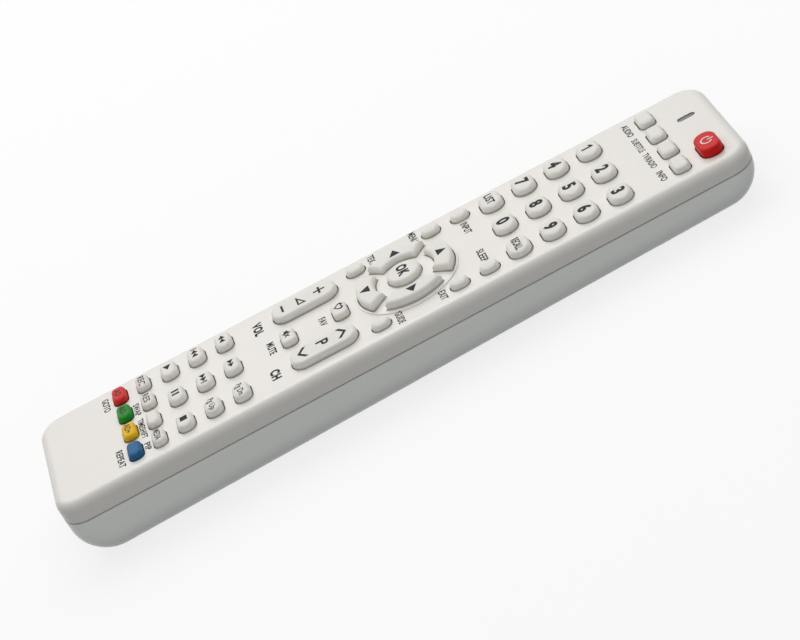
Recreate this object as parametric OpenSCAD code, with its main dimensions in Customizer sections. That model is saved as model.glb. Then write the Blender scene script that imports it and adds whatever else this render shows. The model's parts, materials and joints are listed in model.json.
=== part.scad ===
// Universal remote control with a full silicone keypad and a battery cover that slides off
// The key face is tilted to the underside, because the battery end is the thicker one

/* [Body] */
// Width across the key face
body_w = 48; // [47:0.5:56]
// Length from the bottom end to the top end
body_l = 210; // [190:1:230]
// Radius of the four corners seen from above, and of the long edges of the underside
corner_r = 7.2; // [7:0.1:8.2]
// Rounding of the edge round the key face
face_round = 2.8; // [1.6:0.1:3.2]
// Radius of the chin that turns up at the bottom end
chin_round = 11.5; // [10.5:0.1:12.5]
// Radius of the toe that turns up at the top end
toe_round = 10.6; // [9:0.1:10.6]
// Angle between the key face and the underside, in degrees
wedge = 1.6; // [1:0.1:2]
// Thickness of the side walls
wall = 2; // [1.7:0.1:2.2]
// Thickness of the key face
face_t = 1.8; // [1.4:0.1:2.2]
// Thickness of the floor of the bottom case
floor_t = 2.4; // [2:0.1:2.8]
// Depth of the waist under the middle of the body
waist_depth = 1.6; // [0.5:0.1:1.8]
// Where the waist is full, towards the bottom end
waist_low_y = -2; // [-6:0.5:6]
// Where the waist is full, towards the top end
waist_high_y = 70; // [60:0.5:74]
// Length of the ramp into the waist
waist_ramp = 10; // [6:0.5:12]

/* [Parting line] */
// Depth of the parting line below the key face at mid length
parting_depth = 6.1; // [5.4:0.1:6.6]
// Angle between the key face and the parting line, in degrees
parting_tilt = 0.42; // [0:0.02:0.6]
// Height of the shadow groove along the parting line
groove_h = 0.3; // [0.2:0.05:0.5]
// Depth of the shadow groove
groove_d = 0.35; // [0.2:0.05:0.6]
// Height of the lip that centres one case in the other
lip_h = 1.4; // [1:0.1:1.8]
// Thickness of the lip
lip_t = 0.7; // [0.5:0.05:0.8]
// Thickness of the rim outside the lip
rim_t = 1; // [0.8:0.05:1.05]
// Gap between the lip and the rim
lip_gap = 0.2; // [0.1:0.05:0.25]
// Gap between the two cases at the seam
seam_gap = 0.06; // [0.02:0.01:0.1]

/* [Key fit] */
// Gap between a key and its hole
key_gap = 0.3; // [0.2:0.05:0.4]
// How far the flange of a key reaches past its head
flange_out = 0.7; // [0.5:0.05:0.8]
// Thickness of the flange
flange_t = 0.8; // [0.6:0.05:1]
// Gap between the flange and the back of the key face
stop_gap = 0.3; // [0.2:0.05:0.4]
// Travel of a key
key_travel = 0.8; // [0.5:0.05:1]
// Gap left under a key that is pressed fully
press_gap = 0.1; // [0.05:0.05:0.3]
// Extra room under the key face for the tipping of a rocker
rocker_room = 0.5; // [0.5:0.05:0.6]

/* [Columns and rows] */
// Distance of the outer columns of digits and transport keys from the middle
column_x = 14.5; // [13.8:0.1:15.2]
// Height of the first row of digits
digit_y = 68.6; // [68:0.05:70]
// Distance between rows of digits
digit_pitch = 10.23; // [9.8:0.05:10.4]
// Distance between the small keys of a row of four
small_pitch = 10.2; // [9.8:0.05:10.6]
// Height of the row of small keys under the power key
quick_y = 86.5; // [85.5:0.1:87]
// Distance of the pill keys from the middle
pill_x = 16.4; // [16:0.1:17]
// Height of the input and sleep keys
input_y = 28.4; // [28:0.1:29]
// Height of the menu and exit keys
menu_y = 19.3; // [19:0.1:20]
// Height of the text and guide keys
text_y = -4.5; // [-5.5:0.1:-4]
// Height of the direction pad
pad_y = 7.3; // [7:0.1:8]
// Distance of the rockers from the middle
rocker_x = 13.45; // [13:0.05:14.5]
// Height of the rockers
rocker_y = -21.05; // [-22.5:0.05:-20.5]
// Height of the favourite key
favourite_y = -13.1; // [-13.6:0.1:-12.6]
// Height of the mute key
mute_y = -29; // [-30:0.1:-28]
// Height of the first row of transport keys
transport_y = -46.3; // [-47:0.1:-45]
// Distance between rows of transport keys
transport_pitch = 8.6; // [8.2:0.05:8.7]
// Height of the record row
record_y = -71.7; // [-72:0.1:-71.2]
// Height of the coloured row
colour_y = -79.1; // [-80:0.1:-78.8]
// Distance of the power key from the middle
power_x = 13.75; // [12.8:0.05:14.2]
// Height of the power key
power_y = 95.9; // [95.6:0.1:96.6]
// Distance of the indicator slot from the middle
slot_x = 7.1; // [6:0.1:9]
// Height of the indicator slot
slot_y = 96.3; // [95:0.1:97]

/* [Key heads] */
// Width of a digit key
digit_w = 9.1; // [8.6:0.1:9.4]
// Length of a digit key
digit_l = 6.7; // [6.5:0.05:7]
// Height of a digit key above the face
digit_h = 1.95; // [1.5:0.05:2.4]
// Width of a key in the row under the power key
quick_w = 7.7; // [7:0.1:8]
// Length of a key in the row under the power key
quick_l = 4.8; // [4.2:0.1:5.2]
// Height of a key in the row under the power key above the face
quick_h = 1.9; // [1.5:0.1:2.2]
// Width of a key in the record row
record_w = 7; // [6.4:0.1:7.6]
// Length of a key in the record row
record_l = 4; // [3.8:0.1:4.4]
// Height of a key in the record row above the face
record_h = 2.1; // [1.5:0.1:2.4]
// Width of a coloured key
colour_w = 7.4; // [6.8:0.1:7.8]
// Length of a coloured key
colour_l = 4.2; // [3.8:0.1:4.6]
// Height of a coloured key above the face
colour_h = 2; // [1.5:0.1:2.4]
// Width of a pill key
pill_w = 4.8; // [4.6:0.1:5.2]
// Length of a pill key
pill_l = 5.6; // [5:0.1:6]
// Height of a pill key above the face
pill_h = 1.8; // [1.5:0.1:2.2]
// Width of a transport key
transport_w = 7.6; // [7:0.1:8.6]
// Length of a transport key
transport_l = 5; // [4.8:0.1:5.6]
// Height of a transport key above the face
transport_h = 2.2; // [1.5:0.1:2.6]
// Width of the favourite and mute keys
middle_w = 7.4; // [6.8:0.1:8]
// Length of the favourite and mute keys
middle_l = 4.5; // [4.2:0.1:5]
// Height of the favourite and mute keys above the face
middle_h = 2; // [1.5:0.1:2.4]
// Width of a rocker
rocker_w = 8.5; // [8.4:0.1:9.2]
// Length of a rocker
rocker_l = 19.9; // [18:0.1:21]
// Height of a rocker above the face
rocker_h = 2.15; // [1.5:0.05:2.6]
// Width of the power key
power_w = 10.2; // [9:0.1:10.4]
// Length of the power key
power_l = 6.4; // [6.2:0.1:7]
// Height of the power key above the face
power_h = 2.6; // [1.8:0.1:3.2]
// Corner radius of the digit keys
digit_corner = 3.2; // [2.8:0.05:3.2]
// Corner radius of the pill and transport keys
pill_corner = 2.2; // [1.8:0.05:2.25]
// Corner radius of the keys in rows of four, and of the favourite and mute keys
key_corner = 1.7; // [1.5:0.05:1.8]
// Corner radius of the power key
power_corner = 2.9; // [2:0.1:3]
// Corner radius of the rockers
rocker_corner = 4; // [3:0.1:4.1]
// Rounding of the top edge of the keys with a flat top
key_round = 1; // [0.3:0.05:1.2]
// Rounding of the top edge of the keys with a crowned top
pillow_round = 1.4; // [0.8:0.05:1.45]
// Radius of the fall at both ends of a crowned top
fall_r = 2.6; // [2:0.1:2.8]
// Drop of a crowned top at its ends
fall = 0.7; // [0.4:0.05:0.7]

/* [Direction pad] */
// Radius of the low dome under the pad
dome_r = 15.5; // [15.3:0.1:15.8]
// Height of the dome above the face at its middle
dome_h = 1.2; // [0.8:0.05:1.4]
// Height of the step round the dome
dome_rim = 0.25; // [0.15:0.05:0.4]
// Outer radius of the left and right arc keys
side_outer_r = 14; // [13.6:0.1:14.6]
// Outer radius of the up and down arc keys
tip_outer_r = 14.6; // [13.6:0.1:14.7]
// Inner radius of the left and right arc keys
side_inner_r = 8.1; // [7.6:0.1:8.6]
// Inner radius of the up and down arc keys
tip_inner_r = 9; // [8:0.1:9.4]
// Half the angle between the ends of the left and right arc keys
side_half = 38; // [35:0.1:38.5]
// Half the angle between the ends of the up and down arc keys
tip_half = 35.2; // [33:0.1:36]
// Height of the arc keys above the face
arc_h = 2.8; // [2.2:0.1:3.2]
// Rounding of the top edge of the arc keys
arc_round = 1.2; // [0.6:0.05:1.4]
// Radius of the OK key
ok_r = 5; // [4.6:0.1:5.4]
// Height of the OK key above the face
ok_h = 3; // [2.4:0.1:3.4]

/* [Inside] */
// Thickness of the keypad mat
mat_t = 0.8; // [0.6:0.05:1]
// Radius of the contact pad under a key
mat_pad_r = 1.5; // [1.2:0.1:1.7]
// Height of the contact pad
mat_pad_h = 0.3; // [0.2:0.05:0.5]
// Thickness of the circuit board
board_t = 1.2; // [1:0.1:1.6]
// Gap between the side wall and the edge of the board or the mat
board_inset = 2; // [1.6:0.1:2.4]
// Gap between pieces that lie on each other
seat_gap = 0.05; // [0.02:0.01:0.1]
// Gap between the board and what is under it
board_gap = 0.24; // [0.2:0.02:0.4]
// Radius of the locating pegs
peg_r = 1.25; // [1:0.05:1.5]
// Gap between a peg and the holes that it passes
peg_gap = 0.25; // [0.15:0.05:0.4]
// Radius of the infrared emitter
emitter_r = 2.5; // [1.5:0.1:2.6]
// Gap between the emitter and its hole
emitter_gap = 0.25; // [0.15:0.05:0.35]
// How far the emitter stands back from the end wall
emitter_back = 0.4; // [0.2:0.1:1]
// Length of the indicator slot
slot_l = 5.4; // [4.5:0.1:6]
// Width of the indicator slot
slot_w = 2.2; // [1.4:0.1:2.4]
// Radius of the indicator lamp on the board
lamp_r = 1.5; // [1.2:0.1:1.6]
// Thickness of the ribs that carry the board
rib_t = 1.2; // [0.8:0.1:1.6]

/* [Batteries] */
// Radius of a cell
cell_r = 5.25; // [5:0.05:5.4]
// Length of a cell without its nub
cell_l = 43.3; // [42:0.1:44]
// Radius of the nub
nub_r = 1.9; // [1.6:0.1:2.2]
// Length of the nub
nub_l = 1.2; // [0.8:0.1:1.4]
// Distance between the two cells
cell_pitch = 12; // [11.8:0.1:12.4]
// Gap round a cell
cell_gap = 0.2; // [0.1:0.05:0.3]
// Room for the contact at each end of the cells
contact_room = 3.2; // [2.8:0.1:3.6]
// Top end of the battery bay
bay_high_y = -26; // [-28:0.5:-25]
// Thickness of the side and end walls of the bay
bay_wall = 1.2; // [1:0.1:1.4]
// Thickness of the bay's ceiling
bay_ceiling = 0.7; // [0.5:0.05:0.9]
// Thickness of the contact strip
contact_t = 0.4; // [0.3:0.05:0.5]
// Width of a contact
contact_w = 8; // [7:0.1:9]
// Height of a contact
contact_h = 8; // [7:0.1:9]
// Gap between a contact and its cell
contact_gap = 0.25; // [0.15:0.05:0.35]

/* [Battery cover] */
// Width of the cover
cover_w = 30; // [28:0.2:30.4]
// Thickness of the cover
cover_t = 1.7; // [1.5:0.05:2]
// Gap round the cover
cover_gap = 0.3; // [0.2:0.05:0.35]
// Top end of the cover
cover_high_y = -22; // [-23.5:0.5:-20]
// How far the cover stands back from the bottom end
cover_back = 7.2; // [6.8:0.1:8]
// How far the runner stands out of each side of the cover
runner_out = 1.2; // [0.8:0.05:1.3]
// Thickness of the runners and the tongue
runner_t = 0.8; // [0.6:0.05:0.9]
// Height of the runners above the underside
runner_z = 0.8; // [0.7:0.05:0.85]
// Width of the tongue that latches the cover
tongue_w = 8; // [6:0.2:12]
// Length of the tongue
tongue_l = 1.5; // [1:0.1:2]
// Length of the thumb scoop
scoop_l = 13; // [9:0.5:16]
// Width of the thumb scoop
scoop_w = 16; // [12:0.5:22]
// Depth of the thumb scoop
scoop_depth = 0.7; // [0.4:0.05:0.9]
// Number of grip grooves in the scoop
grip_count = 4; // [2:1:5]
// Width of a grip groove
grip_w = 0.9; // [0.5:0.05:1]
// Depth of a grip groove below the scoop
grip_depth = 0.3; // [0.15:0.05:0.4]

/* [Hidden] */
$fn = 48;

digit_names = ["key_1", "key_2", "key_3", "key_4", "key_5", "key_6",
               "key_7", "key_8", "key_9", "key_list", "key_0", "key_recall"];
quick_names = ["key_audio", "key_subtitle", "key_tv_radio", "key_info"];
pill_names = ["key_input", "key_sleep", "key_menu", "key_exit", "key_text", "key_guide"];
arc_names = ["pad_right", "pad_up", "pad_left", "pad_down"];
rocker_names = ["volume_rocker", "channel_rocker"];
middle_names = ["key_favourite", "key_mute"];
transport_names = ["key_rewind", "key_forward", "key_page_down",
                   "key_previous", "key_next", "key_page_up",
                   "key_play", "key_pause", "key_stop"];
record_names = ["key_record", "key_resume", "key_swap", "key_media"];
colour_names = ["key_red", "key_green", "key_yellow", "key_blue"];
cell_names = ["battery_left", "battery_right"];

case_white = "#ecebe8";
key_grey = "#dddbd6";
power_red = "#c8202a";
row_colours = ["#d42e2e", "#1f8f3c", "#e8b61e", "#2f66b0"];
steel = "#b9bcc0";

// The rows are drawn for one length and keep their share of any other
drawn_l = 210;
function row(y) = y * body_l / drawn_l;
pad_place = [0, row(pad_y)];
power_place = [power_x, row(power_y)];
slot_place = [-slot_x, row(slot_y)];
bay_high = row(bay_high_y);
cover_high = row(cover_high_y);
waist_low = row(waist_low_y);
waist_high = row(waist_high_y);

// Heights of the stack under the key face, whose outer face is at zero
flange_top = -face_t - stop_gap;
flange_low = flange_top - flange_t;
mat_pad_top = flange_low - key_travel - press_gap;
mat_top = mat_pad_top - mat_pad_h;
board_top = mat_top - mat_t - seat_gap;
board_low = board_top - board_t;

// The battery bay, measured from the underside
bay_top = cover_t + 2 * cell_gap + 2 * cell_r;
bay_w = cell_pitch + 2 * cell_r + 2 * cell_gap;
bay_low_y = bay_high - cell_l - nub_l - 2 * contact_room;
cell_z = cover_t + cell_gap + cell_r;
cell_low_y = bay_low_y + contact_room;
well_top = cover_t + cover_gap;
well_floor = well_top + bay_wall;

// The body is as deep as the mat, board and bay need at the bay's shallow end
bay_depth = board_gap + bay_ceiling + bay_top - board_low;
body_depth = bay_depth + (bay_high + bay_wall) * tan(wedge);
parting_z = (body_depth - parting_depth) * cos(wedge);
seam_turn = wedge - parting_tilt;

board_w = body_w - 2 * (wall + board_inset);
board_l = body_l - 2 * (wall + board_inset) - 5;
emitter_z = (board_top + board_low) / 2;
emitter_tip_y = body_l / 2 - emitter_back;
peg_places = [[0, row((quick_y + digit_y) / 2)], [0, row((mute_y + transport_y) / 2)],
              [0, row(colour_y - 10)]];
rib_places = [waist_low + 32, waist_high + 5];
wide = 2 * body_l;

function digit_place(i) = [(i % 3 - 1) * column_x, row(digit_y - floor(i / 3) * digit_pitch)];
function four_place(i, y) = [(i - 1.5) * small_pitch, row(y)];
function pill_place(i) = [(i % 2 == 0 ? -1 : 1) * pill_x, row([input_y, menu_y, text_y][floor(i / 2)])];
function rocker_place(i) = [(2 * i - 1) * rocker_x, row(rocker_y)];
function middle_place(i) = [0, row([favourite_y, mute_y][i])];
function transport_place(i) = [(i % 3 - 1) * column_x, row(transport_y - floor(i / 3) * transport_pitch)];
function arc_outer(i) = i % 2 == 0 ? side_outer_r : tip_outer_r;
function arc_half(i) = i % 2 == 0 ? side_half : tip_half;
function arc_inner(i) = i % 2 == 0 ? side_inner_r : tip_inner_r;
function arc_middle(i) = (arc_outer(i) + arc_inner(i)) / 2 * [cos(90 * i), sin(90 * i)] + pad_place;

pressed_places = concat([for (i = [0:11]) digit_place(i)],
                        [for (i = [0:3]) four_place(i, quick_y)],
                        [for (i = [0:3]) four_place(i, record_y)],
                        [for (i = [0:3]) four_place(i, colour_y)],
                        [for (i = [0:5]) pill_place(i)],
                        [for (i = [0:1]) middle_place(i)],
                        [for (i = [0:8]) transport_place(i)],
                        [for (i = [0:3]) arc_middle(i)],
                        [pad_place, power_place]);

// Frames: the key face at zero, and the parting line at zero
module face_frame() {
  translate([0, 0, parting_z])
    rotate([-wedge, 0, 0])
      translate([0, 0, parting_depth])
        children();
}

module seam_frame() {
  translate([0, 0, parting_z])
    rotate([-seam_turn, 0, 0])
      children();
}

// Flat outline with round corners
module rounded_rect(w, l, r) {
  square([w - 2 * r, l], center = true);
  square([w, l - 2 * r], center = true);
  for (sx = [-1, 1], sy = [-1, 1])
    translate([sx * (w / 2 - r), sy * (l / 2 - r)])
      circle(r);
}

// Half of a section whose outer top edge is round
module edge_profile(reach, round_r, depth) {
  translate([0, -depth])
    square([reach, depth - round_r]);
  translate([0, -depth])
    square([reach - round_r, depth]);
  translate([reach - round_r, -round_r])
    intersection() {
      circle(round_r);
      square(round_r);
    }
}

// Block with round corners and a round top edge, with its top at zero
module soft_block(w, l, r, round_r, depth) {
  rotate([90, 0, 0])
    linear_extrude(l - 2 * r, center = true)
      for (side = [0, 1])
        mirror([side, 0])
          edge_profile(w / 2, round_r, depth);
  for (side = [0, 1])
    mirror([0, side, 0])
      translate([0, l / 2 - r, 0])
        rotate([90, 0, 90])
          linear_extrude(w - 2 * r, center = true)
            edge_profile(r, round_r, depth);
  for (corner = [0:3])
    let (sx = corner == 0 || corner == 3 ? 1 : -1, sy = corner < 2 ? 1 : -1)
      translate([sx * (w / 2 - r), sy * (l / 2 - r), 0])
        rotate([0, 0, 90 * corner])
          rotate_extrude(angle = 90)
            edge_profile(r, round_r, depth);
}

// Flange behind the face, which keeps a key in
module key_flange(w, l, r, top) {
  translate([0, 0, top - flange_t])
    linear_extrude(flange_t)
      rounded_rect(w + 2 * flange_out, l + 2 * flange_out, r + flange_out);
}

// Key with a flat top
module block_key(w, l, r, h, flange_top_z = flange_top) {
  translate([0, 0, h])
    soft_block(w, l, r, key_round, h - flange_top_z + flange_t);
  key_flange(w, l, r, flange_top_z);
}

// Key with a top that falls away at both ends, cut just below the flat top of its block
module pillow_key(w, l, r, h) {
  cut = 0.06;
  fall_reach = sqrt(2 * fall_r * fall - fall * fall);
  intersection() {
    translate([0, 0, h + cut])
      soft_block(w, l, r, pillow_round, h + cut - flange_low);
    translate([0, 0, h])
      rotate([90, 0, 0])
        linear_extrude(2 * l, center = true)
          for (side = [0, 1])
            mirror([side, 0])
              edge_profile(w / 2 - fall_reach + fall_r, fall_r, h - flange_low + 1);
  }
  key_flange(w, l, r, flange_top);
}

module round_key(r, h) {
  rotate_extrude() {
    translate([0, h])
      edge_profile(r, key_round, h - flange_low);
    translate([0, flange_low])
      square([r + flange_out, flange_t]);
  }
}

// Ring sector about the X axis, from the inner to the outer radius
module sector(inner, outer, half, low, high) {
  rotate([0, 0, -half])
    rotate_extrude(angle = 2 * half)
      translate([inner, low])
        square([outer - inner, high - low]);
}

// Flat piece with the plan of an arc key, grown on all sides
module arc_slab(inner_r, outer_r, half, grow, low, high) {
  near = -grow / sin(half);
  far = 2 * outer_r * [cos(half), sin(half)];
  intersection() {
    sector(inner_r - grow, outer_r + grow, 60, low, high);
    translate([0, 0, low - 1])
      linear_extrude(high - low + 2)
        polygon([[near, 0], [near + far.x, -far.y], [near + far.x, far.y]]);
  }
}

// Block that stops at one end of an arc key, with a round top edge there
module end_block(half) {
  far = 2 * dome_r;
  translate([far * sin(half), -far * cos(half), arc_h])
    rotate([90, 0, 90 + half])
      linear_extrude(2 * far, center = true)
        edge_profile(far, arc_round, arc_h - flange_low + 1);
}

module arc_key(i) {
  inner_r = arc_inner(i);
  outer_r = arc_outer(i);
  middle_r = (outer_r + inner_r) / 2;
  translate(pad_place)
    rotate([0, 0, 90 * i]) {
      intersection() {
        rotate([0, 0, -60])
          rotate_extrude(angle = 120)
            translate([middle_r, arc_h])
              for (side = [0, 1])
                mirror([side, 0])
                  edge_profile(outer_r - middle_r, arc_round, arc_h - flange_low);
        end_block(arc_half(i));
        mirror([0, 1, 0])
          end_block(arc_half(i));
      }
      arc_slab(inner_r, outer_r, arc_half(i), flange_out, flange_low, flange_top);
    }
}

module block_hole(place, w, l, r) {
  translate([place.x, place.y, -2 * face_t])
    linear_extrude(4 * face_t)
      rounded_rect(w + 2 * key_gap, l + 2 * key_gap, r + key_gap);
}

module round_hole(place, r) {
  translate([place.x, place.y, -2 * face_t])
    cylinder(h = 4 * face_t, r = r + key_gap);
}

module key_holes() {
  for (i = [0:11])
    block_hole(digit_place(i), digit_w, digit_l, digit_corner);
  round_hole(pad_place, ok_r);
  block_hole(power_place, power_w, power_l, power_corner);
  for (i = [0:3]) {
    block_hole(four_place(i, quick_y), quick_w, quick_l, key_corner);
    block_hole(four_place(i, record_y), record_w, record_l, key_corner);
    block_hole(four_place(i, colour_y), colour_w, colour_l, key_corner);
  }
  for (i = [0:5])
    block_hole(pill_place(i), pill_w, pill_l, pill_corner);
  for (i = [0:1])
    block_hole(middle_place(i), middle_w, middle_l, key_corner);
  for (i = [0:8])
    block_hole(transport_place(i), transport_w, transport_l, pill_corner);
  for (i = [0:1])
    block_hole(rocker_place(i), rocker_w, rocker_l, rocker_corner);
  for (i = [0:3])
    translate(pad_place)
      rotate([0, 0, 90 * i])
        arc_slab(arc_inner(i), arc_outer(i), arc_half(i), key_gap, -2 * face_t, 2 * face_t);
}

// Hole for the emitter, shared by the two cases
module emitter_hole() {
  face_frame()
    translate([0, body_l / 2 - 4 * wall, emitter_z])
      rotate([-90, 0, 0])
        cylinder(h = 8 * wall, r = emitter_r + emitter_gap);
}

// Ring of the outline between two insets
module outline_ring(inset, t) {
  difference() {
    rounded_rect(body_w - 2 * inset, body_l - 2 * inset, corner_r - inset);
    rounded_rect(body_w - 2 * (inset + t), body_l - 2 * (inset + t), corner_r - inset - t);
  }
}

module top_shell() {
  difference() {
    face_frame()
      soft_block(body_w, body_l, corner_r, face_round, 2 * parting_depth);
    face_frame()
      translate([0, 0, -face_t - 3 * parting_depth])
        linear_extrude(3 * parting_depth)
          rounded_rect(body_w - 2 * wall, body_l - 2 * wall, corner_r - wall);
    seam_frame()
      translate([-wide / 2, -wide / 2, seam_gap - wide])
        cube(wide);
    seam_frame()
      translate([0, 0, -groove_h])
        linear_extrude(2 * groove_h + seam_gap)
          outline_ring(-wall, wall + groove_d);
  }
}

// Low dome that the direction pad stands on
module pad_dome() {
  rise = dome_h - dome_rim;
  ball_r = (dome_r * dome_r + rise * rise) / (2 * rise);
  rotate_extrude()
    intersection() {
      translate([0, -face_t / 2])
        square([dome_r, face_t + dome_h]);
      translate([0, dome_h - ball_r])
        circle(ball_r);
    }
}

module top_case() {
  lip_root = wall / 4;
  color(case_white)
    difference() {
      union() {
        top_shell();
        seam_frame()
          translate([0, 0, -lip_h])
            linear_extrude(lip_h + seam_gap + lip_root)
              outline_ring(rim_t + lip_gap, lip_t);
        face_frame()
          translate(pad_place)
            pad_dome();
        face_frame()
          for (place = peg_places)
            translate([place.x, place.y, board_low])
              cylinder(h = -face_t / 2 - board_low, r = peg_r);
      }
      face_frame()
        key_holes();
      face_frame()
        translate([slot_place.x, slot_place.y, -2 * face_t])
          linear_extrude(4 * face_t)
            rounded_rect(slot_w, slot_l, slot_w * 0.49);
      emitter_hole();
    }
}

// Plan of a rounded end, from its axis out to its reach
module end_profile(w, r, reach) {
  for (side = [0, 1])
    mirror([0, side])
      translate([0, w / 2])
        edge_profile(reach, r, w / 2);
}

// End of the belly at zero, which turns through a quarter circle
module belly_end(w, r, turn_r) {
  translate([0, -turn_r, -turn_r])
    rotate([90, 0, 90])
      rotate_extrude(angle = 90)
        end_profile(w, r, turn_r);
  translate([0, -turn_r, -body_depth])
    rotate([0, 0, 90])
      linear_extrude(body_depth - turn_r)
        end_profile(w, r, turn_r);
}

// Form of the bottom case, standing on the underside, or moved in by an inset and raised
module belly(inset, low) {
  w = body_w - 2 * inset;
  l = body_l - 2 * inset;
  r = corner_r - inset;
  chin_r = chin_round - inset;
  toe_r = toe_round - inset;
  translate([0, 0, low])
    mirror([0, 0, 1]) {
      translate([0, (chin_r - toe_r) / 2, 0])
        rotate([90, 0, 0])
          linear_extrude(l - chin_r - toe_r, center = true)
            for (side = [0, 1])
              mirror([side, 0])
                edge_profile(w / 2, r, body_depth);
      translate([0, l / 2, 0])
        belly_end(w, r, toe_r);
      translate([0, -l / 2, 0])
        mirror([0, 1, 0])
          belly_end(w, r, chin_r);
    }
}

// Raised form of the waist, which hollows the underside and lifts the floor over it
module waist(w, z) {
  ramp_low = waist_low - waist_ramp;
  ramp_high = waist_high + waist_ramp;
  rotate([90, 0, 90])
    linear_extrude(w, center = true)
      polygon([[ramp_low, z], [ramp_low, z - 1], [ramp_high, z - 1], [ramp_high, z],
               [waist_high, z + waist_depth], [waist_low, z + waist_depth]]);
}

// Space in which the cover and its runners slide out
module cover_well() {
  well_w = cover_w + 2 * cover_gap;
  well_high_y = cover_high + cover_gap;
  translate([-well_w / 2, -body_l, -1])
    cube([well_w, body_l + well_high_y, well_top + 1]);
  translate([-well_w / 2 - runner_out, -body_l, runner_z - cover_gap])
    cube([well_w + 2 * runner_out, body_l + well_high_y, runner_t + 2 * cover_gap]);
  translate([-tongue_w / 2 - cover_gap, cover_high, runner_z - cover_gap])
    cube([tongue_w + 2 * cover_gap, tongue_l + cover_gap, runner_t + 2 * cover_gap]);
}

module bay_walls() {
  walls_w = bay_w + 2 * bay_wall;
  translate([-walls_w / 2, bay_low_y - bay_wall, 1])
    cube([walls_w, bay_high - bay_low_y + 2 * bay_wall, bay_top + bay_ceiling - 1]);
  guard_w = cover_w + 2 * (cover_gap + runner_out + bay_wall);
  guard_low_y = -body_l / 2 + chin_round - 2 * bay_wall;
  translate([-guard_w / 2, guard_low_y, floor_t - 1])
    cube([guard_w, cover_high + tongue_l + 2 * bay_wall - guard_low_y, well_floor - floor_t + 1]);
}

// Height of the board's underside above the ground at a place along the length
function board_under(y) = parting_z - y * sin(wedge) + (board_low + parting_depth) * cos(wedge);

module bottom_case() {
  color(case_white)
    difference() {
      union() {
        difference() {
          belly(0, 0);
          belly(wall, floor_t);
          seam_frame()
            translate([-wide / 2, -wide / 2, 0])
              cube(wide);
          seam_frame()
            translate([0, 0, -lip_h - lip_gap])
              linear_extrude(wide)
                rounded_rect(body_w - 2 * rim_t, body_l - 2 * rim_t, corner_r - rim_t);
        }
        bay_walls();
        waist(body_w - 2 * corner_r, floor_t);
        for (y = rib_places)
          translate([-board_w / 2, y, floor_t - 1])
            cube([board_w, rib_t, board_under(y + rib_t) - board_gap - floor_t + 1]);
      }
      translate([-bay_w / 2, bay_low_y, -1])
        cube([bay_w, bay_high - bay_low_y, bay_top + 1]);
      cover_well();
      waist(wide, 0);
      emitter_hole();
    }
}

module battery_cover() {
  low_y = -body_l / 2 + cover_back;
  chin_y = -body_l / 2 + chin_round;
  scoop_y = cover_high - scoop_l;
  scoop_r = (scoop_l * scoop_l / 4 + scoop_depth * scoop_depth) / (2 * scoop_depth);
  color(case_white)
    difference() {
      union() {
        rotate([90, 0, 90])
          linear_extrude(cover_w, center = true)
            intersection() {
              translate([low_y, 0])
                square([cover_high - low_y, cover_t]);
              union() {
                translate([chin_y, 0])
                  square([body_l, 2 * cover_t]);
                translate([chin_y, chin_round])
                  circle(chin_round);
              }
            }
        translate([-cover_w / 2 - runner_out, chin_y, runner_z])
          cube([cover_w + 2 * runner_out, cover_high - chin_y, runner_t]);
        translate([-tongue_w / 2, cover_high - tongue_l, runner_z])
          cube([tongue_w, 2 * tongue_l, runner_t]);
      }
      translate([0, scoop_y, scoop_depth - scoop_r])
        rotate([0, 90, 0])
          cylinder(h = scoop_w, r = scoop_r, center = true);
      for (i = [0:grip_count - 1])
        translate([-scoop_w / 2 + grip_w, scoop_y + (2 * i + 0.5 - grip_count) * grip_w, 0])
          cube([scoop_w - 2 * grip_w, grip_w, scoop_depth + grip_depth]);
    }
}

module keypad_mat() {
  color(key_grey)
    face_frame()
      difference() {
        union() {
          translate([0, 0, mat_top - mat_t])
            linear_extrude(mat_t)
              rounded_rect(board_w, board_l, corner_r - wall - board_inset);
          for (place = pressed_places)
            translate([place.x, place.y, mat_top - mat_t / 2])
              cylinder(h = mat_pad_h + mat_t / 2, r = mat_pad_r);
        }
        for (place = peg_places)
          translate([place.x, place.y, mat_top - 2 * mat_t])
            cylinder(h = 4 * mat_t, r = peg_r + peg_gap);
        translate([slot_place.x, slot_place.y, mat_top - 2 * mat_t])
          cylinder(h = 4 * mat_t, r = lamp_r + peg_gap);
      }
}

module circuit_board() {
  lamp_top = flange_top;
  color("#5f7d4a")
    face_frame()
      difference() {
        union() {
          translate([0, 0, board_low])
            linear_extrude(board_t)
              rounded_rect(board_w, board_l, corner_r - wall - board_inset);
          translate([slot_place.x, slot_place.y, board_low])
            cylinder(h = lamp_top - board_low - lamp_r, r = lamp_r);
          translate([slot_place.x, slot_place.y, lamp_top - lamp_r])
            sphere(lamp_r);
        }
        for (place = peg_places)
          translate([place.x, place.y, board_low - board_t])
            cylinder(h = 3 * board_t, r = peg_r + peg_gap);
      }
}

// Round lamp with a flange at its foot, lying along the body
module ir_emitter() {
  foot_y = board_l / 2 + seat_gap;
  foot_t = 1;
  color("#4a4650")
    face_frame()
      translate([0, 0, emitter_z])
        rotate([-90, 0, 0]) {
          translate([0, 0, foot_y])
            cylinder(h = foot_t, r = emitter_r + emitter_gap / 2);
          translate([0, 0, foot_y])
            cylinder(h = emitter_tip_y - emitter_r - foot_y, r = emitter_r);
          translate([0, 0, emitter_tip_y - emitter_r])
            sphere(emitter_r);
        }
}

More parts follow.
